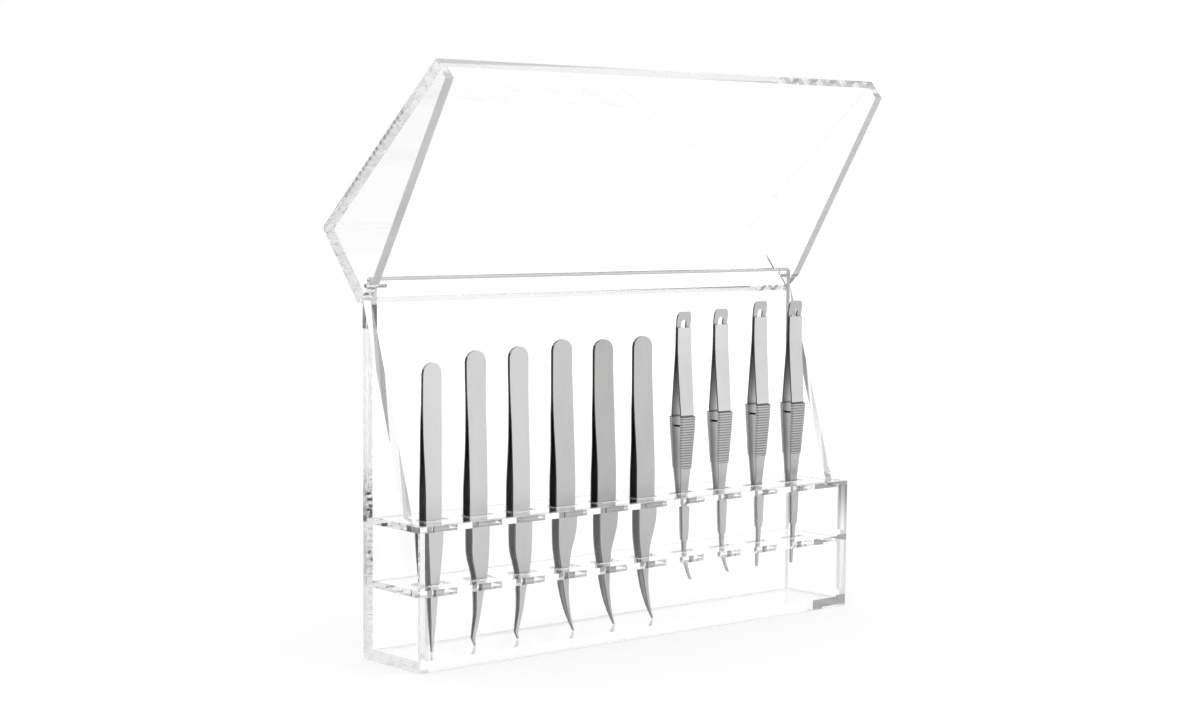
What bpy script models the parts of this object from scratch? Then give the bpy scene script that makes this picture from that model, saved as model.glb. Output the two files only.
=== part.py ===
# Clear acrylic case for ten tweezers: a slotted two-shelf base, a lid on two hinge pins, and the tweezers.
# Lengths below are in millimetres; metres = length * mm. X runs left to right, Y to the back, Z up.
# The origin is the centre of the base's underside. The lid is built in its open pose.

import math

import bmesh
import bpy
import numpy as np
from mathutils import Matrix, Vector

mm = 0.001

# Case
caseWidth = 300.0
caseDepth = 48.5
sheet = 5.0
seam = 0.3
frontHeight = 72.0
flatDepth = 12.5

# Hinge and lid
pinHeight = 187.5
pinInset = 2.5
openAngle = 130.0
lidGap = 0.6
stopClearance = 0.3
pinDiameter = 2.0
pinLength = 11.0
pinPlay = 0.08
blindDepth = 6.6
drillPoint = 0.6
backRise = 4.4

# Shelves and slots
shelfSheet = 3.5
midShelfTop = 40.0
slotCount = 10
firstSlotIn = 22.0
lastSlotIn = 26.0
slotWidth = 15.8
springSlotDepth = 8.0
crossSlotDepth = 5.2
slotCorner = 0.8

# Tweezers
tweezerY = -4.2
armGap = 0.3
floorGap = 0.3
crossThickness = 1.0
crossTipThickness = 0.7
edgeChamfer = 0.14
headRound = 5.5
headFlat = 0.03
chamferShare = 0.25
shapedLength = 56.0

# How far a cutter reaches past what it cuts
overshoot = 2.0

# Taken from the sizes above
halfWidth = caseWidth / 2
frontY = -caseDepth / 2
backY = caseDepth / 2
innerX = halfWidth - sheet - seam
slotPitch = (caseWidth - firstSlotIn - lastSlotIn) / (slotCount - 1)
innerFront = frontY + sheet + seam
innerBack = backY - sheet - seam
footY = frontY + flatDepth
pinY = backY - pinInset
swing = math.radians(openAngle)
stopDrop = (pinInset * (1 - math.cos(swing)) + stopClearance) / math.sin(swing)
sideTop = pinHeight - stopDrop
lidRise = sheet + stopDrop
slope = math.atan2(sideTop - frontHeight, backY - footY)
cheekDrop = stopDrop - lidGap / math.cos(slope)
cheekFlat = flatDepth - (lidGap - lidGap * math.cos(slope)) / math.sin(slope)
lidFront = caseDepth - pinInset
lidBottom = frontHeight + lidGap - pinHeight

# Half of each outline, as (height above the tip, left edge, right edge), from the tweezer's own axis
needleOutline = (
    (0, -0.35, 0.35),
    (6, -0.8, 0.8),
    (18, -1.5, 1.5),
    (36, -2.7, 2.7),
    (54, -4.2, 4.2),
    (66, -4.7, 4.7),
    (78, -4.8, 4.8),
    (92, -5.1, 5.1),
    (114, -5.7, 5.7),
    (140, -5.6, 5.6),
)
hookedOutline = (
    (0, -1.5, -0.9),
    (3.5, -3.4, -1.8),
    (9, -2.6, -0.4),
    (16, -1.5, 1.1),
    (21, -1.4, 1.8),
    (27, -1.5, 2.8),
    (33, -1.9, 3.9),
    (37, -2.6, 4.7),
    (41, -3.6, 5.1),
    (46, -5.0, 5.3),
    (51, -5.3, 5.5),
    (76, -5.3, 5.7),
    (101, -5.1, 6.1),
    (140, -6.2, 6.0),
)
curvedOutline = (
    (0, 6.3, 6.9),
    (4, 4.4, 5.2),
    (9, 2.2, 3.6),
    (16, 0.0, 2.0),
    (23, -1.7, 1.2),
    (38, -4.4, 1.6),
    (45, -5.5, 3.2),
    (51, -5.8, 5.2),
    (57, -5.9, 6.2),
    (73, -5.9, 6.7),
    (90, -5.9, 6.8),
    (115, -6.8, 6.6),
    (140, -7.0, 5.8),
)

# Half of the two arms' outer depth, by height above the tip
slimBow = (
    (0, 0.7),
    (4, 0.95),
    (16, 1.75),
    (26, 2.05),
    (34, 2.5),
    (41, 2.85),
    (52, 3.15),
    (60, 3.2),
    (78, 3.15),
    (90, 2.6),
    (102, 1.95),
    (114, 1.5),
    (128, 1.05),
    (150, 1.05),
)
broadBow = (
    (0, 0.7),
    (8, 1.6),
    (21, 2.7),
    (40, 3.1),
    (52, 3.2),
    (78, 3.15),
    (90, 2.6),
    (102, 1.95),
    (114, 1.5),
    (128, 1.05),
    (160, 1.05),
)

# Thickness of a spring arm, by height above the tip
springGauge = (
    (0, 0.5),
    (5, 0.8),
    (12, 1.15),
    (24, 1.35),
    (40, 1.25),
    (60, 1.0),
    (90, 0.9),
    (150, 0.9),
)

# Cross-lock arms: width, and where each arm's middle lies in front of the plane that they cross
crossWidths = (
    (0, 0.8),
    (8, 1.5),
    (17, 2.0),
    (21.9, 2.3),
    (22.9, 3.8),
    (32, 4.4),
    (42.8, 5.2),
    (50, 5.2),
    (56, 6.0),
    (62, 7.3),
    (75, 8.4),
    (90, 9.2),
    (104, 9.7),
    (118, 9.9),
    (148, 9.6),
)
crossOffsets = (
    (0, -0.5),
    (16, -0.55),
    (23, -0.8),
    (31, -1.1),
    (41, -0.95),
    (42.8, 0.0),
    (44.6, 1.0),
    (48.5, 1.8),
    (50.3, 1.95),
    (55, 2.4),
    (61, 2.7),
    (74.5, 3.1),
    (84, 3.55),
    (90.8, 3.6),
    (101, 2.8),
    (115.8, 1.6),
    (126, 0.85),
    (137.5, 0.65),
    (150, 0.65),
)
crossLength = crossWidths[-1][0]
angledTip = ((0, 5.0), (4, 3.1), (8.5, 1.6), (14, 0.3), (17.5, 0.0), (150, 0.0))
straightTip = ((0, -0.8), (7, -0.7), (17.5, 0.0), (150, 0.0))
tipEnd = 21.9
tipShoulder = 1.0
crossStart = 41.6
crossEnd = 44.0
crossEase = 0.6
crossSideGap = 0.4
ribStart = 62.0
ribEnd = 90.8
ribCount = 20
ribHeight = 0.35
ribSide = 0.25
ribEase = 0.05
padAtTop = 1.2
padAtBottom = 0.25
shortArmTop = crossLength - 8.7
headBend = 1.3
headWiden = 0.3
headSquare = 0.6
headClose = 0.55
eyeBottom = crossLength - 11.5
eyeTop = crossLength - 4.4
eyeWidth = 3.8
guidePinHeight = 85.5
guidePinDiameter = 1.1
guidePinSide = -3.0

springKinds = {
    "needle": (needleOutline, slimBow),
    "hooked": (hookedOutline, slimBow),
    "curved": (curvedOutline, broadBow),
}
# The ten: kind, tip height, length, shift from the slot's middle, sideways lean in mm for each 100 mm
tweezers = (
    ("needle", sheet + floorGap, 145.0, -1.2, 1.0),
    ("hooked", sheet + floorGap, 149.9, -1.4, 0.3),
    ("hooked", sheet + floorGap, 150.9, -1.8, 0.0),
    ("curved", sheet + floorGap, 153.4, -0.6, 0.0),
    ("curved", sheet + floorGap, 152.4, -0.5, 0.0),
    ("curved", sheet + floorGap, 153.1, -1.0, 0.0),
    ("angled", 23.7, 146.9, 0.2, 0.0),
    ("angled", 25.0, 146.4, 0.3, -0.5),
    ("straight", 25.8, 149.0, 1.1, 0.8),
    ("straight", 25.1, 149.2, 0.6, 1.0),
)


def material(name, color, roughness, metallic=0.0, transmission=0.0):
    made = bpy.data.materials.new(name)
    made.use_nodes = True
    shader = made.node_tree.nodes["Principled BSDF"]
    shader.inputs["Base Color"].default_value = (*color, 1)
    shader.inputs["Roughness"].default_value = roughness
    shader.inputs["Metallic"].default_value = metallic
    shader.inputs["Transmission Weight"].default_value = transmission
    if transmission:
        shader.inputs["IOR"].default_value = 1.49
    made.diffuse_color = (*color, 1)
    return made


def collection(name):
    made = bpy.data.collections.new(name)
    bpy.context.scene.collection.children.link(made)
    return made


def add(name, bm, group, color, origin=(0, 0, 0)):
    bmesh.ops.recalc_face_normals(bm, faces=bm.faces)
    bmesh.ops.translate(bm, verts=bm.verts, vec=-Vector(origin))
    mesh = bpy.data.meshes.new(name)
    bm.to_mesh(mesh)
    bm.free()
    made = bpy.data.objects.new(name, mesh)
    made.location = Vector(origin) * mm
    mesh.transform(Matrix.Scale(mm, 4))
    group.objects.link(made)
    if color:
        mesh.materials.append(color)
    return made


def box(x, y, z):
    bm = bmesh.new()
    bmesh.ops.create_cube(bm, size=1)
    size = Vector((x[1] - x[0], y[1] - y[0], z[1] - z[0]))
    middle = Vector((sum(x), sum(y), sum(z))) / 2
    bmesh.ops.scale(bm, verts=bm.verts, vec=size)
    bmesh.ops.translate(bm, verts=bm.verts, vec=middle)
    return bm


# A body swept from a closed polygon of points along a vector.
def prism(points, sweep):
    bm = bmesh.new()
    face = bm.faces.new([bm.verts.new(point) for point in points])
    far = bmesh.ops.extrude_face_region(bm, geom=[face])["geom"]
    bmesh.ops.translate(bm, verts=[v for v in far if isinstance(v, bmesh.types.BMVert)], vec=sweep)
    return bm


# A plate between two X values whose outline in the YZ plane is a closed polygon.
def plateOf(points, x):
    return prism([(x[0], y, z) for y, z in points], (x[1] - x[0], 0, 0))


# World (Y, Z) of a lid point, from its place ahead of and above the pin on the closed lid.
def opened(forward, up):
    turned = forward * math.cos(swing) - up * math.sin(swing)
    raised = forward * math.sin(swing) + up * math.cos(swing)
    return pinY - turned, pinHeight + raised


# A round bar between two points; point adds a cone on its far end.
def cylinder(diameter, start, end, point=0.0, segments=24):
    bm = bmesh.new()
    sweep = Vector(end) - Vector(start)
    radius = diameter / 2
    bmesh.ops.create_cone(
        bm, cap_ends=True, segments=segments, radius1=radius, radius2=radius, depth=sweep.length
    )
    if point:
        tip = [f for f in bm.faces if f.normal.z > 0.9]
        poked = bmesh.ops.poke(bm, faces=tip)["verts"]
        bmesh.ops.translate(bm, verts=poked, vec=(0, 0, point))
    turn = sweep.to_track_quat("Z", "Y").to_matrix()
    bmesh.ops.rotate(bm, verts=bm.verts, matrix=turn)
    bmesh.ops.translate(bm, verts=bm.verts, vec=(Vector(start) + Vector(end)) / 2)
    return bm


def cut(target, cutter):
    cutter.display_type = "WIRE"
    cutter.hide_render = True
    change = target.modifiers.new(cutter.name, "BOOLEAN")
    change.operation = "DIFFERENCE"
    change.solver = "EXACT"
    change.object = cutter


# A smooth value from a table of (height, value, ...), with no overshoot between its rows.
def along(table, column, height):
    at = [row[0] for row in table]
    value = [row[column] for row in table]
    if height <= at[0]:
        return value[0]
    if height >= at[-1]:
        return value[-1]
    steps = [(value[i + 1] - value[i]) / (at[i + 1] - at[i]) for i in range(len(at) - 1)]
    slopes = [steps[0]]
    for before, after in zip(steps, steps[1:]):
        slopes.append(0.0 if before * after <= 0 else 2 * before * after / (before + after))
    slopes.append(steps[-1])
    i = max(n for n in range(len(at) - 1) if at[n] <= height)
    span = at[i + 1] - at[i]
    t = (height - at[i]) / span
    bend = slopes[i] * span * t * (1 - t) ** 2 - slopes[i + 1] * span * t * t * (1 - t)
    return value[i] * (1 + 2 * t) * (1 - t) ** 2 + value[i + 1] * t * t * (3 - 2 * t) + bend


# A closed body through rings of equal point counts, made as a folded grid with filled ends.
def loft(rings):
    around = len(rings[0])
    bm = bmesh.new()
    made = bmesh.ops.create_grid(bm, x_segments=around, y_segments=len(rings) - 1, size=1)["verts"]
    for n, vert in enumerate(made):
        vert.co = rings[n // (around + 1)][n % (around + 1) % around]
    bmesh.ops.remove_doubles(bm, verts=bm.verts, dist=1e-5)
    bmesh.ops.holes_fill(bm, edges=bm.edges, sides=around)
    return bm


# A six-sided section with its two outer edges broken; inner and outer are Y values.
def ring(z, left, right, inner, outer):
    corner = min(edgeChamfer, chamferShare * (right - left), chamferShare * abs(outer - inner))
    step = math.copysign(corner, inner - outer)
    return [
        (left, inner, z),
        (left, outer + step, z),
        (left + corner, outer, z),
        (right - corner, outer, z),
        (right, outer + step, z),
        (right, inner, z),
    ]


# Left and right edges near the top, where the head closes in an ellipse.
def rounded(length, left, right, rise):
    into = max(0.0, (rise - (length - headRound)) / headRound)
    middle = (left + right) / 2
    half = (right - left) / 2 * math.sqrt(max(headFlat, 1 - into * into))
    return middle - half, middle + half


def springArm(kind, base, length, axis, lean, side):
    outline, bow = springKinds[kind]
    # stations are closer in the shaped lower part than along the plain upper part
    body = list(np.linspace(0, shapedLength, 15)) + list(np.linspace(shapedLength, length - headRound, 12))[1:]
    head = [length - headRound * (1 - math.sin(math.radians(turn))) for turn in (25, 45, 60, 72, 81)]
    rings = []
    for rise in body + head + [length]:
        left, right = along(outline, 1, rise), along(outline, 2, rise)
        left, right = rounded(length, left, right, rise)
        outer = along(bow, 1, rise)
        thickness = along(springGauge, 1, rise)
        middle = axis + lean * (base + rise - frontHeight) / 100
        inner = tweezerY + side * (outer - thickness)
        rings.append(ring(base + rise, middle + left, middle + right, inner, tweezerY + side * outer))
    return loft(rings)


# How far the two ribbed grips stand out at a height, and how far the ribs reach past the sides.
def grip(rise):
    if not ribStart < rise < ribEnd + ribEase / 2:
        return 0.0, 0.0
    share = (rise - ribStart) / (ribEnd - ribStart)
    crest = round(share * ribCount * 2) % 2
    return padAtBottom + (padAtTop - padAtBottom) * share + ribHeight * crest, ribSide * crest


# Heights of the sections of a cross-lock arm, closer where its shape changes.
def crossRises(top):
    rises = [0, 4, 8, 12, 17, tipEnd, tipEnd + tipShoulder, 28, 33, 38, 48, 50.5, 54, 58, ribStart]
    rises += [crossStart - crossEase, crossStart, crossEnd, crossEnd + crossEase]
    rises += [crossStart + (crossEnd - crossStart) * share for share in (0.25, 0.5, 0.75)]
    rises += [ribStart + (ribEnd - ribStart) * (n + 1) / ribCount / 2 for n in range(2 * ribCount)]
    # ribEase keeps the section above the grips apart from their last one
    rises += [ribEnd + ribEase, 94, 98, 102, 107, 112, 118, 126, 133, shortArmTop]
    if top > shortArmTop:
        rises += [shortArmTop + (top - shortArmTop) * share for share in (0.25, 0.6, 0.8, 0.9, 1)]
    return sorted(rises)


# side is -1 for the short arm, in front at the top, and +1 for the long arm with the head.
def crossArm(kind, base, length, axis, lean, side):
    scale = length / crossLength
    bend = angledTip if kind == "angled" else straightTip
    rings = []
    for rise in crossRises(shortArmTop if side < 0 else crossLength):
        half = along(crossWidths, 1, rise) / 2
        thick = min(1, max(0, (rise - tipEnd) / tipShoulder))
        thickness = crossTipThickness + (crossThickness - crossTipThickness) * thick
        centre = along(bend, 1, rise)
        left, right = centre - half, centre + half
        # each arm keeps to its own half where they pass each other
        if crossStart <= rise <= crossEnd:
            if side < 0:
                left = centre + crossSideGap / 2
            else:
                right = centre - crossSideGap / 2
        pad, widen = grip(rise)
        forward = 0.0
        if rise > shortArmTop:
            share = (rise - shortArmTop) / (crossLength - shortArmTop)
            forward = headBend * share
            into = max(0.0, (share - headSquare) / (1 - headSquare))
            widen = headWiden * share - half * (1 - math.sqrt(1 - headClose * into * into))
        lift = base + rise * scale
        tilt = axis + lean * (lift - frontHeight) / 100
        middle = tweezerY + side * along(crossOffsets, 1, rise) - forward
        inner = middle - side * thickness / 2
        outer = middle + side * (thickness / 2 + pad)
        rings.append(ring(lift, tilt + left - widen, tilt + right + widen, inner, outer))
    return loft(rings)


# The eye through the long arm's head: an upright bar with a round top.
def eyeCutter(base, length, axis, lean):
    scale = length / crossLength
    top = base + eyeTop * scale
    bottom = base + eyeBottom * scale
    middle = axis + lean * (top - frontHeight) / 100
    radius = eyeWidth / 2
    front = tweezerY - headBend - overshoot
    points = [(middle - radius, front, bottom), (middle + radius, front, bottom)]
    for n in range(13):
        turn = math.pi * n / 12
        points.append((middle + radius * math.cos(turn), front, top - radius + radius * math.sin(turn)))
    return prism(points, (0, headBend + crossThickness + 2 * overshoot, 0))


# One upright bar with rounded corners, longer than the shelf is thick, for slot n.
def slotCutter(n, top):
    depth = springSlotDepth if tweezers[n][0] in springKinds else crossSlotDepth
    bottom = top - shelfSheet - overshoot
    points = []
    for cornerX, cornerY, start in ((1, 1, 0), (-1, 1, 90), (-1, -1, 180), (1, -1, 270)):
        for step in range(4):
            turn = math.radians(start + step * 30)
            x = slotX(n) + cornerX * (slotWidth / 2 - slotCorner) + slotCorner * math.cos(turn)
            y = tweezerY + cornerY * (depth / 2 - slotCorner) + slotCorner * math.sin(turn)
            points.append((x, y, bottom))
    return prism(points, (0, 0, shelfSheet + 2 * overshoot))


def slotX(n):
    return firstSlotIn - halfWidth + n * slotPitch


def buildBase(group, cutters, clear, clearBack):
    for side, name in ((-1, "side_panel_left"), (1, "side_panel_right")):
        outline = (
            (frontY, 0),
            (backY, 0),
            (backY, sideTop),
            (footY, frontHeight),
            (frontY, frontHeight),
        )
        add(name, plateOf(outline, (side * (halfWidth - sheet), side * halfWidth)), group, clear)
    add("front_panel", box((-innerX, innerX), (frontY, frontY + sheet), (0, frontHeight)), group, clear)
    add("bottom_panel", box((-innerX, innerX), (innerFront, innerBack), (0, sheet)), group, clear)
    for name, top in (("top_shelf", frontHeight), ("mid_shelf", midShelfTop)):
        shelf = add(name, box((-innerX, innerX), (innerFront, innerBack), (top - shelfSheet, top)), group, clear)
        for n in range(slotCount):
            cut(shelf, add(f"{name}_slot_{n + 1:02d}", slotCutter(n, top), cutters, None))
    # the back panel's top edge is fully rounded about a line over the pins
    radius = sheet / 2
    crown = pinHeight + backRise - radius
    middle = backY - radius
    outline = [(backY - sheet, 0), (backY, 0)]
    for n in range(13):
        turn = math.pi * n / 12
        outline.append((middle + radius * math.cos(turn), crown + radius * math.sin(turn)))
    back = add("back_panel", plateOf(outline, (-innerX, innerX)), group, clearBack)
    for side, name in ((-1, "left"), (1, "right")):
        start = (side * (innerX + overshoot), pinY, pinHeight)
        end = (side * (innerX - blindDepth), pinY, pinHeight)
        hole = cylinder(pinDiameter + 2 * pinPlay, start, end, point=drillPoint)
        cut(back, add("blind_hole_" + name, hole, cutters, None))


def buildPins(group, steel):
    for side, name in ((-1, "hinge_pin_left"), (1, "hinge_pin_right")):
        start = (side * halfWidth, pinY, pinHeight)
        end = (side * (halfWidth - pinLength), pinY, pinHeight)
        add(name, cylinder(pinDiameter, start, end), group, steel, start)


def buildLid(group, cutters, clear):
    hinge = (0, pinY, pinHeight)
    topFront = lidFront - sheet - seam
    corners = (
        (-pinInset, lidRise),
        (lidFront, lidRise),
        (lidFront, lidBottom),
        (lidFront - cheekFlat, lidBottom),
        (-pinInset, -cheekDrop),
    )
    for side, name in ((-1, "lid_cheek_left"), (1, "lid_cheek_right")):
        outline = [opened(*corner) for corner in corners]
        faces = (side * (halfWidth - sheet), side * halfWidth)
        cheek = add(name, plateOf(outline, faces), group, clear, hinge)
        start = (faces[0] - side * overshoot, pinY, pinHeight)
        end = (faces[1] + side * overshoot, pinY, pinHeight)
        hole = cylinder(pinDiameter + 2 * pinPlay, start, end)
        cut(cheek, add(name + "_hole", hole, cutters, None))
    front = ((lidFront - sheet, lidRise), (lidFront, lidRise), (lidFront, lidBottom), (lidFront - sheet, lidBottom))
    add("lid_front_panel", plateOf([opened(*c) for c in front], (-innerX, innerX)), group, clear, hinge)
    top = ((-pinInset, lidRise), (topFront, lidRise), (topFront, lidRise - sheet), (-pinInset, lidRise - sheet))
    add("lid_top_panel", plateOf([opened(*c) for c in top], (-innerX, innerX)), group, clear, hinge)


def buildTweezers(group, cutters, steel, dark):
    for n, (kind, base, length, shift, lean) in enumerate(tweezers):
        axis = slotX(n) + shift
        origin = (axis, tweezerY, base)
        label = f"tweezer_{n + 1:02d}"
        if kind in springKinds:
            for side, name in ((-1, "_arm_front"), (1, "_arm_back")):
                add(label + name, springArm(kind, base, length, axis, lean, side), group, steel, origin)
            continue
        add(label + "_arm_front", crossArm(kind, base, length, axis, lean, -1), group, steel, origin)
        long = add(label + "_arm_back", crossArm(kind, base, length, axis, lean, 1), group, steel, origin)
        cut(long, add(label + "_eye", eyeCutter(base, length, axis, lean), cutters, None))
        scale = length / crossLength
        reach = along(crossOffsets, 1, guidePinHeight) - crossThickness / 2 - armGap
        rise = base + guidePinHeight * scale
        middle = axis + guidePinSide + lean * (rise - frontHeight) / 100
        start, end = (middle, tweezerY - reach, rise), (middle, tweezerY + reach, rise)
        pin = cylinder(guidePinDiameter, start, end, segments=16)
        add(label + "_guide_pin", pin, group, dark, origin)


for old in list(bpy.data.objects):
    bpy.data.objects.remove(old)

caseGroup = collection("tweezer_case")
cutterGroup = collection("cutters")
acrylic = material("clear_acrylic", (0.96, 0.97, 0.97), 0.02, transmission=0.95)
acrylicBack = material("clear_acrylic_back", (0.95, 0.96, 0.96), 0.02, transmission=0.95)
pinSteel = material("pin_steel", (0.62, 0.62, 0.63), 0.3, 1.0)
tweezerSteel = material("brushed_steel", (0.66, 0.66, 0.67), 0.34, 1.0)
darkSteel = material("guide_pin_steel", (0.2, 0.2, 0.2), 0.4, 1.0)

buildBase(caseGroup, cutterGroup, acrylic, acrylicBack)
buildPins(caseGroup, pinSteel)
buildLid(caseGroup, cutterGroup, acrylic)
buildTweezers(caseGroup, cutterGroup, tweezerSteel, darkSteel)
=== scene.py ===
import math
import bmesh
import bpy
from mathutils import Matrix, Vector
from mathutils.geometry import delaunay_2d_cdt


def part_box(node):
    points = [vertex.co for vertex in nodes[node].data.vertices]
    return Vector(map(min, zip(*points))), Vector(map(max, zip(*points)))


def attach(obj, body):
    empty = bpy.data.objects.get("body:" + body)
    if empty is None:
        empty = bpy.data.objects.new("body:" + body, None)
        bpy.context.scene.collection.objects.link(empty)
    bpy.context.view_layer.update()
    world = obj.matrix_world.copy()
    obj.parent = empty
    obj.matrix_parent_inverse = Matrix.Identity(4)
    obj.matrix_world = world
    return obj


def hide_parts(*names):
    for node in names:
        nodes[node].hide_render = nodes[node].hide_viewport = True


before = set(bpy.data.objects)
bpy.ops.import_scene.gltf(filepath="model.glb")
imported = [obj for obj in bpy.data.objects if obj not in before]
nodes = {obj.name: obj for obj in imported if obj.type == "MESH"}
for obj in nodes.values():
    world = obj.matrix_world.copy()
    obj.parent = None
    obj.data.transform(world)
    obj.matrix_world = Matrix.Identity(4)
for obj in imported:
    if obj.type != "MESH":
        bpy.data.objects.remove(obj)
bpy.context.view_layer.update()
scene = bpy.context.scene
mm = 0.001
print("frame loaded:", len(nodes), "nodes")


# A socket that takes part in sums and products; each one adds its Math node.
class Wire:
    def __init__(self, tree, socket):
        self.tree = tree
        self.socket = socket

    def joined(self, operation, first, second=None):
        made = self.tree.nodes.new("ShaderNodeMath")
        made.operation = operation
        for slot, value in enumerate((first, second)):
            if isinstance(value, Wire):
                self.tree.links.new(value.socket, made.inputs[slot])
            elif value is not None:
                made.inputs[slot].default_value = value
        return Wire(self.tree, made.outputs[0])

    def __add__(self, other):
        return self.joined("ADD", self, other)

    def __radd__(self, other):
        return self.joined("ADD", other, self)

    def __sub__(self, other):
        return self.joined("SUBTRACT", self, other)

    def __rsub__(self, other):
        return self.joined("SUBTRACT", other, self)

    def __mul__(self, other):
        return self.joined("MULTIPLY", self, other)

    def __rmul__(self, other):
        return self.joined("MULTIPLY", other, self)

    def __truediv__(self, other):
        return self.joined("DIVIDE", self, other)

    def __gt__(self, other):
        return self.joined("GREATER_THAN", self, other)

    def __lt__(self, other):
        return self.joined("LESS_THAN", self, other)

    def __abs__(self):
        return self.joined("ABSOLUTE", self)

    def cosine(self):
        return self.joined("COSINE", self)

    def clamped(self):
        made = self.joined("ADD", self, 0.0)
        made.socket.node.use_clamp = True
        return made


# A node tree in which one method makes every other kind of node.
class Tree:
    def __init__(self, owner):
        owner.use_nodes = True
        self.tree = owner.node_tree
        self.tree.nodes.clear()

    def node(self, kind, settings=None, out=0, **values):
        made = self.tree.nodes.new("ShaderNode" + kind)
        for name, value in (settings or {}).items():
            setattr(made, name, value)
        for name, value in values.items():
            slot = int(name[1:]) if name[0] == "i" and name[1:].isdigit() else name.replace("_", " ")
            socket = made.inputs[slot]
            if isinstance(value, Wire):
                self.tree.links.new(value.socket, socket)
            elif isinstance(value, (tuple, list)) and len(value) == 3 and len(socket.default_value) == 4:
                socket.default_value = (*value, 1)
            else:
                socket.default_value = value
        return Wire(self.tree, made.outputs[out]) if made.outputs else made


def newMaterial(name):
    made = bpy.data.materials.new(name)
    return made, Tree(made)


def eased(value, start, end):
    share = ((value - start) / (end - start)).clamped()
    return share * share * (3 - 2 * share)


def mixed(tree, share, first, second):
    return tree.node("Mix", {"data_type": "RGBA"}, out=2, i0=share, i6=first, i7=second)


def scaled(color, by):
    return tuple(c * by for c in color)


# how far one direction points along another
def lined(tree, first, second):
    return tree.node("VectorMath", {"operation": "DOT_PRODUCT"}, out="Value", i0=first, i1=second)


def along(tree, vector, axis):
    return tree.node("SeparateXYZ", out=axis, i0=vector)


# Camera: solved from the case's straight edges in the photograph. Lengths in millimetres, angles in degrees
cameraPlan = {
    "place": (-787.57, -904.61, 235.65),
    "yaw": 40.494,
    "pitch": -6.116,
    "roll": 0.458,
    "lens": 67.76,
    "sensor": 36.0,
    "shiftUp": 0.06,
    "nearest": 10.0,
}


def makeCamera(plan):
    data = bpy.data.cameras.new("camera")
    data.lens = plan["lens"]
    data.sensor_width = plan["sensor"]
    data.shift_y = plan["shiftUp"]
    data.clip_start = plan["nearest"] * mm
    made = bpy.data.objects.new("camera", data)
    scene.collection.objects.link(made)
    turn = Matrix.Rotation(math.radians(-plan["yaw"]), 4, "Z")
    tilt = Matrix.Rotation(math.radians(90 + plan["pitch"]), 4, "X")
    roll = Matrix.Rotation(math.radians(plan["roll"]), 4, "Z")
    made.matrix_world = Matrix.Translation(Vector(plan["place"]) * mm) @ turn @ tilt @ roll
    scene.camera = made


# Room: white above and behind the case, greyer at its sides and behind the camera, with a bright patch on the
# right, so that the edges of the clear sheets draw grey lines
roomPlan = {
    "fill": 0.8,
    "behind": 1.1,
    "base": 0.86,
    "zones": (
        {"toward": (0.0, 0.0, 1.0), "from": 0.45, "to": 0.8, "level": 1.0},
        {"toward": (0.62, 0.78, 0.0), "from": 0.25, "to": 0.75, "level": 1.1},
        {"toward": (0.66, -0.75, -0.05), "from": 0.86, "to": 0.97, "level": 1.12},
        {"toward": (-0.66, -0.75, 0.15), "from": 0.75, "to": 0.95, "level": 0.84},
        {"toward": (-0.75, 0.66, -0.1), "from": 0.80, "to": 0.95, "level": 0.34},
    ),
}


# brightness of the room in a direction, for reflections and for what shows through the clear sheets
def roomLight(tree, direction, plan):
    level = plan["base"]
    for zone in plan["zones"]:
        share = eased(lined(tree, direction, tuple(Vector(zone["toward"]).normalized())), zone["from"], zone["to"])
        level = (1 - share) * level + share * zone["level"]
    return level


# camera rays, rays seen in metal or through clear sheets, and of these the rays that went straight through
def rayKinds(tree):
    camera, glossy, through, mirrored = (tree.node("LightPath", out=name) for name in (
        "Is Camera Ray", "Is Glossy Ray", "Is Transmission Ray", "Glossy Depth"))
    straight = through * (mirrored < 0.5)
    return camera, (glossy + through).clamped(), straight


def makeRoom(plan):
    world = bpy.data.worlds.new("room")
    scene.world = world
    tree = Tree(world)
    camera, seen, straight = rayKinds(tree)
    direction = tree.node("TexCoord", out="Generated")
    around = roomLight(tree, direction, plan) * (1 - straight) + plan["behind"] * straight
    level = plan["fill"] * (1 - seen) + around * seen
    level = level * (1 - camera) + camera
    shade = tree.node("Background", Color=(1, 1, 1), Strength=level)
    tree.node("OutputWorld", Surface=shade)


# Floor: a pale disc that glows enough to look white and still takes the case's shadow. Seen in metal or through
# the sheets it is a little darker in front of the case than behind it, and further out it is as bright as the room
floorPlan = {
    "radius": 7.0,
    "sides": 96,
    "drop": 0.0002,
    "color": 0.42,
    "glow": 0.56,
    "farGlow": 0.16,
    "nearFront": 0.95,
    "nearBack": 1.1,
    "frontToBack": (-0.3, -0.02),
    "nearToFar": (0.15, 0.45),
    "glowRise": (0.3, 1.5),
}


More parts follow.
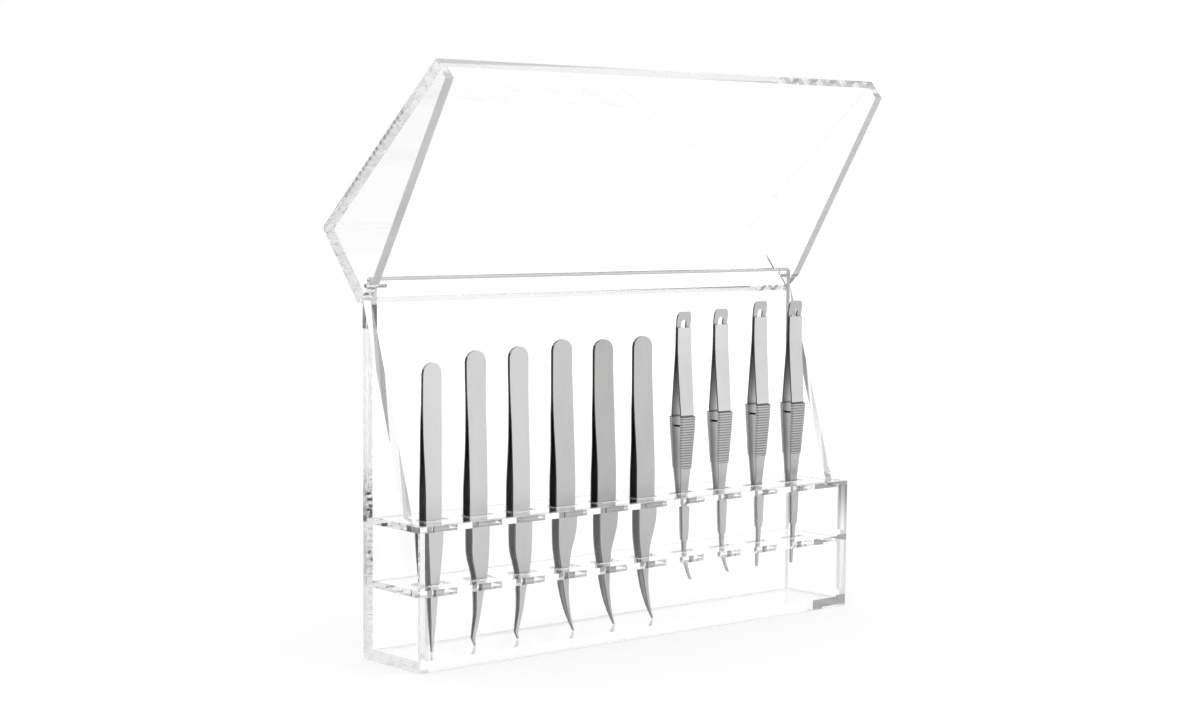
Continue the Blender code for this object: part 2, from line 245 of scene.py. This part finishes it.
def makeFloor(plan, room):
    bm = bmesh.new()
    bmesh.ops.create_circle(bm, cap_ends=True, segments=plan["sides"], radius=plan["radius"])
    mesh = bpy.data.meshes.new("floor")
    bm.to_mesh(mesh)
    bm.free()
    floor = bpy.data.objects.new("floor", mesh)
    floor.location = (0, 0, -plan["drop"])
    scene.collection.objects.link(floor)
    material, tree = newMaterial("floor_white")
    camera, seen, straight = rayKinds(tree)
    place = tree.node("TexCoord", out="Object")
    direction = tree.node("VectorMath", {"operation": "NORMALIZE"}, i0=place)
    distance = tree.node("VectorMath", {"operation": "LENGTH"}, out="Value", i0=place)
    backward = eased(lined(tree, place, (0, 1, 0)), *plan["frontToBack"])
    near = plan["nearFront"] + (plan["nearBack"] - plan["nearFront"]) * backward
    far = eased(distance, *plan["nearToFar"])
    around = near * (1 - far) + roomLight(tree, direction, room) * far
    around = around * (1 - straight) + room["behind"] * straight
    level = around * seen + (1 - seen)
    strength = plan["glow"] + eased(distance, *plan["glowRise"]) * plan["farGlow"]
    glow = tree.node("Emission", Color=(1, 1, 1), Strength=level * (camera + seen) * strength)
    grey = level * plan["color"]
    paint = tree.node("BsdfDiffuse", Color=tree.node("CombineColor", i0=grey, i1=grey, i2=grey))
    both = tree.node("AddShader", i0=glow, i1=paint)
    tree.node("OutputMaterial", Surface=both)
    mesh.materials.append(material)


# Softboxes: at the left, at the front right and behind, all aimed at the middle of the case
softboxPlan = {
    "aim": (0.0, 0.0, 0.12),
    "boxes": (
        {"place": (-1.1, -0.5, 1.7), "size": 1.2, "power": 9.0},
        {"place": (1.5, -1.3, 1.3), "size": 1.4, "power": 10.0},
        {"place": (0.3, 1.6, 1.6), "size": 1.6, "power": 10.0},
    ),
}


def makeSoftboxes(plan):
    for n, box in enumerate(plan["boxes"]):
        data = bpy.data.lights.new(f"softbox_{n + 1}", "AREA")
        data.shape = "SQUARE"
        data.size = box["size"]
        data.energy = box["power"]
        lamp = bpy.data.objects.new(data.name, data)
        lamp.location = box["place"]
        lamp.visible_glossy = lamp.visible_transmission = False
        lamp.rotation_euler = (Vector(plan["aim"]) - lamp.location).to_track_quat("-Z", "Y").to_euler()
        scene.collection.objects.link(lamp)


# Clear cast sheet: rub marks change its polish, and it swells by a hair
sheetPlan = {
    "tint": (0.995, 0.995, 0.995),
    "index": 1.49,
    "absorb": (0.92, 0.922, 0.92),
    "density": 9.0,
    "shadow": (0.975, 0.976, 0.976),
    "rubScale": 60.0,
    "rubDetail": 3.0,
    "roughness": 0.01,
    "swellScale": 9.0,
    "swellDetail": 1.0,
    "swellStrength": 0.02,
    "swellDepth": 0.0003,
}

# Sawn edges: fine marks that run long from side to side, and a matt frost that lets out light trapped in the
# sheets. "even" is the part of the frost that rubbing leaves alone
sawnPlan = {
    "marks": (40.0, 900.0, 900.0),
    "markDetail": 2.0,
    "markStrength": 0.012,
    "markDepth": 0.00005,
    "roughness": 0.2,
    "frost": 0.12,
    "freeFrost": 0.92,
    "frostColor": (0.97, 0.97, 0.97),
    "frostRoughness": 0.6,
    "even": 0.85,
    "rubbed": 0.3,
}

# Rough strokes that the saw left on the upper edge of the lid's left cheek. Lengths in millimetres; "slope" and
# "steepest" pick that edge by its normal
strokesPlan = {
    "side": -144.0,
    "low": 231.0,
    "high": 273.0,
    "pitch": 2.5,
    "slant": 0.35,
    "waver": 3.0,
    "slope": 0.3,
    "steepest": 0.75,
    "sharpness": 0.8,
    "depth": 0.75,
    "color": (0.2, 0.2, 0.2),
}


def sawStrokes(tree, place, rub, plan):
    side, up = (along(tree, place, axis) / mm for axis in "XZ")
    back, rise = (along(tree, tree.node("TexCoord", out="Normal"), axis) for axis in "YZ")
    # the product is the same for both signs of the normal, which turns over on a hit from inside the sheet
    edge = (back * rise > plan["slope"]) * (abs(back) < plan["steepest"])
    run = edge * (side < plan["side"]) * (up > plan["low"]) * (up < plan["high"])
    turn = (up + side * plan["slant"] + rub * plan["waver"]) * (2 * math.pi / plan["pitch"])
    return run * eased(turn.cosine(), 0.0, plan["sharpness"])


def clearSheet(name, plan, sawn=None, frost=0.0):
    material, tree = newMaterial(name)
    place = tree.node("TexCoord", out="Object")
    rub = tree.node("TexNoise", Vector=place, Scale=plan["rubScale"], Detail=plan["rubDetail"])
    if sawn:
        across = tree.node("Mapping", Vector=place, Scale=sawn["marks"])
        marks = tree.node("TexNoise", Vector=across, Scale=1.0, Detail=sawn["markDetail"])
        relief = tree.node("Bump", Strength=sawn["markStrength"], Distance=sawn["markDepth"], Height=marks)
        rough = marks * rub * sawn["roughness"]
    else:
        swell = tree.node("TexNoise", Vector=place, Scale=plan["swellScale"], Detail=plan["swellDetail"])
        relief = tree.node("Bump", Strength=plan["swellStrength"], Distance=plan["swellDepth"], Height=swell)
        rough = rub * plan["roughness"]
    shader = tree.node("BsdfPrincipled", Base_Color=plan["tint"], Roughness=rough,
                       IOR=plan["index"], Transmission_Weight=1.0, Normal=relief)
    if sawn:
        strokes = sawStrokes(tree, place, rub, strokesPlan)
        color = mixed(tree, strokes, sawn["frostColor"], strokesPlan["color"])
        frosted = tree.node("BsdfPrincipled", Base_Color=color, Roughness=sawn["frostRoughness"])
        share = (rub * sawn["rubbed"] + sawn["even"]) * frost + strokes * strokesPlan["depth"]
        shader = tree.node("MixShader", i0=share, i1=shader, i2=frosted)
    inside = tree.node("VolumeAbsorption", Color=plan["absorb"], Density=plan["density"])
    hidden = tree.node("BsdfTransparent", Color=plan["shadow"])
    shadow = tree.node("LightPath", out="Is Shadow Ray")
    surface = tree.node("MixShader", i0=shadow, i1=shader, i2=hidden)
    tree.node("OutputMaterial", Surface=surface, Volume=inside)
    return material


# Satin stainless steel, drawn along its length. Its colour is scaled down on the sheared sides as painted shade,
# scaled up on corners that face the front left as a painted highlight, and scaled down on the insides of the arms
# as painted shade
steelPlan = {
    "color": (0.62, 0.615, 0.612),
    "cloud": 0.16,
    "seed": 0.0,
    "drawnScale": (2200.0, 2200.0, 40.0),
    "drawnDetail": 4.0,
    "drawnRoughness": 0.6,
    "cloudScale": (60.0, 60.0, 22.0),
    "cloudDetail": 3.0,
    "drawnShare": 0.35,
    "cloudShare": 0.65,
    "edge": 0.27,
    "sideShadeFacing": (0.75, 0.95),
    "rimHighlight": 1.35,
    "highlightAim": (-0.707, -0.707, 0.0),
    "highlightFacing": (0.9, 0.97),
    "insideShadeFacing": 0.5,
    "roughness": 0.25,
    "drawnRoughening": 0.12,
    "reliefStrength": 0.12,
    "reliefDepth": 0.00005,
}

# Ribbed grips of the cross-lock pairs, in millimetres up from the tip of a pair of the drawn length. The ribs are
# painted: the steel's colour is scaled down between them as painted shade and up on them as a painted highlight,
# and "below" and "shoulder" scale it under the grip and at its top
gripPlan = {
    "low": 62.0,
    "high": 90.8,
    "ribs": 20,
    "outside": 0.3,
    "grooveShade": 0.42,
    "pad": 1.02,
    "below": 0.78,
    "shoulder": 0.3,
    "shoulderUnder": 0.5,
    "shoulderOver": 0.6,
}


def gripColor(tree, color, plan, grips, place, facing):
    low, high = grips["low"] * grips["scale"], grips["high"] * grips["scale"]
    up = along(tree, place, "Z") / mm - grips["foot"]
    # painted ribs: painted shade in the grooves between them and a painted highlight on them
    turn = (up - low) * (2 * math.pi * grips["ribs"] / (high - low))
    grooveShade = turn.cosine() * 0.5 + 0.5
    ribbed = mixed(tree, grooveShade, scaled(plan["color"], grips["pad"]), scaled(plan["color"], grips["grooveShade"]))
    color = mixed(tree, up < low, color, scaled(plan["color"], grips["below"]))
    grip = (up > low) * (up < high) * (facing < grips["outside"])
    color = mixed(tree, grip, color, ribbed)
    under, over = (grips[name] * grips["scale"] for name in ("shoulderUnder", "shoulderOver"))
    shoulder = (up > high - under) * (up < high + over)
    return mixed(tree, shoulder, color, scaled(plan["color"], grips["shoulder"]))


def satinSteel(name, plan, insideToward=None, grips=None):
    material, tree = newMaterial(name)
    place = tree.node("TexCoord", out="Object")
    start = (plan["seed"], 0.0, 0.0)
    drawn = tree.node("Mapping", Vector=place, Location=start, Scale=plan["drawnScale"])
    lines = tree.node("TexNoise", Vector=drawn, Scale=1.0, Detail=plan["drawnDetail"],
                      Roughness=plan["drawnRoughness"])
    broad = tree.node("Mapping", Vector=place, Location=start, Scale=plan["cloudScale"])
    cloud = tree.node("TexNoise", Vector=broad, Scale=1.0, Detail=plan["cloudDetail"])
    share = lines * plan["drawnShare"] + cloud * plan["cloudShare"]
    darker, lighter = (scaled(plan["color"], 1 + hand * plan["cloud"]) for hand in (-1, 1))
    color = mixed(tree, share, darker, lighter)
    normal = tree.node("TexCoord", out="Normal")
    # painted shade: the colour is darkened on the sheared sides, the faces that point left or right
    sideways = abs(lined(tree, normal, (1, 0, 0)))
    color = mixed(tree, eased(sideways, *plan["sideShadeFacing"]), color, scaled(plan["color"], plan["edge"]))
    # painted highlight: the colour is lightened on corners that face the front left
    corner = lined(tree, normal, plan["highlightAim"])
    color = mixed(tree, eased(corner, *plan["highlightFacing"]), color, scaled(plan["color"], plan["rimHighlight"]))
    if insideToward:
        # painted shade: the colour is darkened on the insides of the arms, which face each other
        facing = lined(tree, normal, (0, insideToward, 0))
        color = mixed(tree, facing > plan["insideShadeFacing"], color, scaled(plan["color"], plan["inside"]))
        if grips:
            color = gripColor(tree, color, plan, grips, place, facing)
    rough = plan["roughness"] + lines * plan["drawnRoughening"]
    relief = tree.node("Bump", Strength=plan["reliefStrength"], Distance=plan["reliefDepth"], Height=lines)
    shader = tree.node("BsdfPrincipled", Base_Color=color, Metallic=1.0, Roughness=rough, Normal=relief)
    tree.node("OutputMaterial", Surface=shader)
    return material


makeCamera(cameraPlan)
makeRoom(roomPlan)
makeFloor(floorPlan, roomPlan)
makeSoftboxes(softboxPlan)
print("camera, room, floor and softboxes made")

acrylic = clearSheet("clear_sheet", sheetPlan)
cutEdge = clearSheet("cut_edge", sheetPlan, sawnPlan, sawnPlan["frost"])
freeEdge = clearSheet("free_cut_edge", sheetPlan, sawnPlan, sawnPlan["freeFrost"])

# Welded shells: the sheets of each body with their seams closed, so that light runs from one into the next.
# Lengths in millimetres; "flat", "steep" and "tilted" sort the sheets' faces by their normals
shellPlan = {
    "overlap": 2.0,
    "corner": 0.22,
    "cornerSteps": 2,
    "cornerFrom": 35.0,
    "speck": 0.02,
    "under": 0.3,
    "lidTurn": 130.0,
    "flat": 0.99,
    "steep": 0.8,
    "tilted": 0.1,
    "base": ("side_panel_left", "side_panel_right", "front_panel", "back_panel", "bottom_panel",
             "top_shelf", "mid_shelf"),
    "lid": ("lid_cheek_left", "lid_cheek_right", "lid_front_panel", "lid_top_panel"),
}

# Smallest measures of the welding, in millimetres: points that are one, the layer that a stretched end takes
# along, and points that are one where an outline is split anew
closePlan = {
    "same": 0.001,
    "layer": 0.05,
    "split": 0.001,
}


def addSheetFinishes(mesh):
    for finish in (acrylic, cutEdge, freeEdge):
        mesh.materials.append(finish)


def sheetCopy(name, plan):
    mesh = nodes[name].data.copy()
    made = bpy.data.objects.new(name + "_sheet", mesh)
    scene.collection.objects.link(made)
    bm = bmesh.new()
    bm.from_mesh(mesh)
    bmesh.ops.remove_doubles(bm, verts=bm.verts, dist=closePlan["same"] * mm)
    bm.to_mesh(mesh)
    bm.free()
    if "custom_normal" in mesh.attributes:
        mesh.attributes.remove(mesh.attributes["custom_normal"])
    mesh.shade_flat()
    mesh.materials.clear()
    addSheetFinishes(mesh)
    broad = max(mesh.polygons, key=lambda face: face.area).normal.copy()
    for face in mesh.polygons:
        if abs(face.normal.dot(broad)) < plan["flat"]:
            free = "cheek" in name and face.normal.y < -plan["steep"]
            face.material_index = 2 if free else 1
    return made


# moves the end of a sheet that faces a direction further that way
def stretch(piece, toward, by):
    aim = Vector(toward).normalized()
    reach = max(v.co.dot(aim) for v in piece.data.vertices)
    for v in piece.data.vertices:
        if v.co.dot(aim) > reach - closePlan["layer"] * mm:
            v.co += aim * by * mm


def stretchBoth(piece, toward, by):
    stretch(piece, toward, by)
    stretch(piece, [-n for n in toward], by)


def blockBetween(name, low, high):
    bm = bmesh.new()
    bmesh.ops.create_cube(bm, size=1)
    bmesh.ops.scale(bm, verts=bm.verts, vec=Vector(high) - Vector(low))
    bmesh.ops.translate(bm, verts=bm.verts, vec=(Vector(high) + Vector(low)) / 2)
    mesh = bpy.data.meshes.new(name)
    bm.to_mesh(mesh)
    bm.free()
    addSheetFinishes(mesh)
    made = bpy.data.objects.new(name, mesh)
    scene.collection.objects.link(made)
    return made


def applyAll(piece, name):
    graph = bpy.context.evaluated_depsgraph_get()
    shape = bpy.data.meshes.new_from_object(piece.evaluated_get(graph))
    piece.modifiers.clear()
    piece.data = shape
    shape.name = name


# the faces of which a triangle is turned over, because their outline doubles back on itself
def foldedFaces(mesh):
    mesh.calc_loop_triangles()
    folded = set()
    for tri in mesh.loop_triangles:
        a, b, c = (mesh.vertices[n].co for n in tri.vertices)
        if (b - a).cross(c - a).dot(mesh.polygons[tri.polygon_index].normal) < 0:
            folded.add(tri.polygon_index)
    return folded


# splits those faces anew, into triangles that don't overlap
def unfold(mesh):
    folded = foldedFaces(mesh)
    bm = bmesh.new()
    bm.from_mesh(mesh)
    bm.faces.ensure_lookup_table()
    for face in [bm.faces[n] for n in folded]:
        corners = list(face.verts)
        forward = face.normal.orthogonal().normalized()
        beside = face.normal.cross(forward)
        flat = [Vector((v.co.dot(forward), v.co.dot(beside))) / mm for v in corners]
        depth = face.normal * corners[0].co.dot(face.normal)
        kind = face.material_index
        outline = [range(len(flat))]
        points, _, triangles, origins = delaunay_2d_cdt(flat, [], outline, 1, closePlan["split"])[:4]
        bm.faces.remove(face)
        ends = []
        for point, origin in zip(points, origins):
            # a point without an origin is where the outline crosses itself
            crossed = depth + (forward * point.x + beside * point.y) * mm
            ends.append(corners[origin[0]] if origin else bm.verts.new(crossed))
        for triangle in triangles:
            made = bm.faces.new([ends[n] for n in triangle])
            made.material_index = kind
    bm.to_mesh(mesh)
    bm.free()
    print("faces split anew:", len(folded))


def welded(name, parts, plan):
    first = parts[0]
    first.name = name
    for part in parts[1:]:
        join = first.modifiers.new(part.name, "BOOLEAN")
        join.operation = "UNION"
        join.solver = "EXACT"
        join.object = part
    applyAll(first, name)
    for part in parts[1:]:
        bpy.data.objects.remove(part)
    # specks left by the joins are closed before the edges are eased
    bm = bmesh.new()
    bm.from_mesh(first.data)
    bmesh.ops.remove_doubles(bm, verts=bm.verts, dist=plan["speck"] * mm)
    bmesh.ops.dissolve_degenerate(bm, edges=bm.edges, dist=plan["speck"] * mm)
    bm.to_mesh(first.data)
    bm.free()
    edge = first.modifiers.new("edges", "BEVEL")
    edge.width = plan["corner"] * mm
    edge.segments = plan["cornerSteps"]
    edge.limit_method = "ANGLE"
    edge.angle_limit = math.radians(plan["cornerFrom"])
    applyAll(first, name)
    unfold(first.data)
    first.data.shade_flat()
    return first


def baseShell(plan):
    over = plan["overlap"]
    parts = {name: sheetCopy(name, plan) for name in plan["base"]}
    for name in ("front_panel", "bottom_panel", "top_shelf", "mid_shelf"):
        stretchBoth(parts[name], (1, 0, 0), over)
    for name in ("bottom_panel", "top_shelf", "mid_shelf"):
        stretchBoth(parts[name], (0, 1, 0), over)
    low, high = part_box("back_panel")
    side = nodes["side_panel_left"].data
    slope = next(face for face in side.polygons
                 if face.normal.y < -plan["steep"] and face.normal.z > plan["tilted"])
    foot = side.vertices[slope.vertices[0]].co
    # the blocks end where the side panels' sloping edge reaches the back panel, clear of the closed lid
    top = foot.z - (low.y - foot.y) * slope.normal.y / slope.normal.z - plan["under"] * mm
    blocks = []
    for hand in (-1, 1):
        ends = sorted((hand * (high.x - over * mm), hand * (high.x + over * mm)))
        blocks.append(blockBetween("back_end", (ends[0], low.y, 0), (ends[1], high.y, top)))
    return welded("case_shell", list(parts.values()) + blocks, plan)


def lidShell(plan):
    over = plan["overlap"]
    parts = {name: sheetCopy(name, plan) for name in plan["lid"]}
    for name in ("lid_front_panel", "lid_top_panel"):
        stretchBoth(parts[name], (1, 0, 0), over)
    # the end of the top panel that faces the front once the lid is closed
    turn = math.radians(plan["lidTurn"])
    stretch(parts["lid_top_panel"], (0, -math.cos(turn), math.sin(turn)), over)
    return welded("lid_shell", list(parts.values()), plan)


for body, shell in (("base", baseShell(shellPlan)), ("lid", lidShell(shellPlan))):
    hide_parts(*shellPlan[body])
    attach(shell, body)
    print(shell.name, "welded:", len(shell.data.polygons), "faces")

# The ten pairs: how much lighter or darker each one's steel is drawn, from the left, as painted shade and
# highlight for what it reflects, and how dark the arms are drawn inside, as painted shade
pairPlan = {
    "paintedShades": (1.02, 0.93, 0.92, 0.8, 0.68, 0.76, 1.0, 1.02, 0.98, 0.92),
    "sprung": 6,
    "sprungInsideShade": 0.46,
    "crossedInsideShade": 0.75,
    "drawnLength": 148.0,
    "seedStep": 0.37,
}


def armSteel(name, plan):
    number = int(name.split("_")[1])
    inward = -1.0 if name.endswith("back") else 1.0
    # painted shade and highlight: each pair's steel colour is scaled for the light it reflects
    shadedColor = scaled(steelPlan["color"], plan["paintedShades"][number - 1])
    steel = {**steelPlan, "color": shadedColor, "seed": number * plan["seedStep"]}
    if number <= plan["sprung"]:
        return satinSteel(name + "_steel", {**steel, "inside": plan["sprungInsideShade"]}, inward)
    low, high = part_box(f"tweezer_{number:02d}_arm_back")
    grips = {**gripPlan, "foot": low.z / mm, "scale": (high.z - low.z) / mm / plan["drawnLength"]}
    return satinSteel(name + "_steel", {**steel, "inside": plan["crossedInsideShade"]}, inward, grips)


darkPin = satinSteel("dark_pin", {**steelPlan, "color": (0.05, 0.05, 0.05)})
turnedPin = satinSteel("turned_pin", {**steelPlan, "color": (0.55, 0.55, 0.56), "edge": 1.0, "rimHighlight": 1.0})
for name, node in nodes.items():
    node.data.materials.clear()
    if "guide_pin" in name:
        finish = darkPin
    elif "arm" in name:
        finish = armSteel(name, pairPlan)
    elif "hinge_pin" in name:
        finish = turnedPin
    else:
        finish = acrylic
    node.data.materials.append(finish)
print("finishes set on the frame's nodes")

# light crosses many sheets and runs along inside them
scene.cycles.max_bounces = 90
scene.cycles.transmission_bounces = 60
scene.cycles.glossy_bounces = 60
scene.view_settings.view_transform = "Standard"
